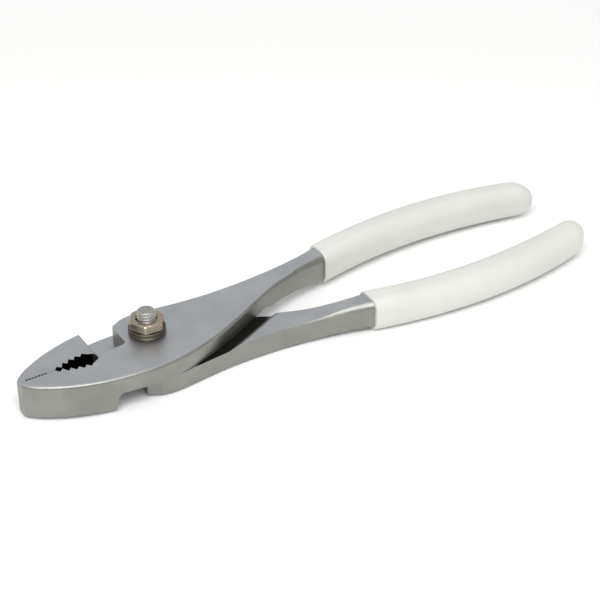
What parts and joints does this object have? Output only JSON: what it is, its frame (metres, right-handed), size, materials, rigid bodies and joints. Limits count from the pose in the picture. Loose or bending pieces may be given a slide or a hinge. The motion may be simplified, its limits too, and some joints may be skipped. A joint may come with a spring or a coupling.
{
  "type": "slip-joint combination pliers",
  "caption": "Slip-joint combination pliers with curved toothed jaws, a lapped head on a stepped bolt with hexagon nut, and bowed handles in smooth dipped grips.",
  "frame": {"origin": "the pivot axis, on the flat underside of the head", "axes": "+X along the tool towards the handles, +Y across it towards the handle of the upper half, +Z along the pivot axis towards the nut"},
  "size_m": [0.1997, 0.0526, 0.0207],
  "materials": {
    "forged_steel": "satin, fine-blasted, with softly rounded edges",
    "grip_vinyl": "smooth dipped vinyl, semi-matte",
    "bolt_steel": "turned, bright",
    "nut_nickel": "nickel plated, warm"
  },
  "bodies": {
    "lower": {"lower_half": "forged_steel", "lower_grip": "grip_vinyl"},
    "pivot": {"pivot_bolt": "bolt_steel", "spring_washer": "nut_nickel", "pivot_nut": "nut_nickel"},
    "upper": {"upper_half": "forged_steel", "upper_grip": "grip_vinyl"}
  },
  "joints": [
    {"name": "slip", "type": "slide", "parent": "lower", "child": "pivot", "axis": [-0.5, -0.866, 0], "range_m": [0, 0.004]},
    {"name": "open", "type": "hinge", "parent": "pivot", "child": "upper", "pos_m": [0, 0, 0], "axis": [0, 0, 1], "range_deg": [0, 60]}
  ]
}
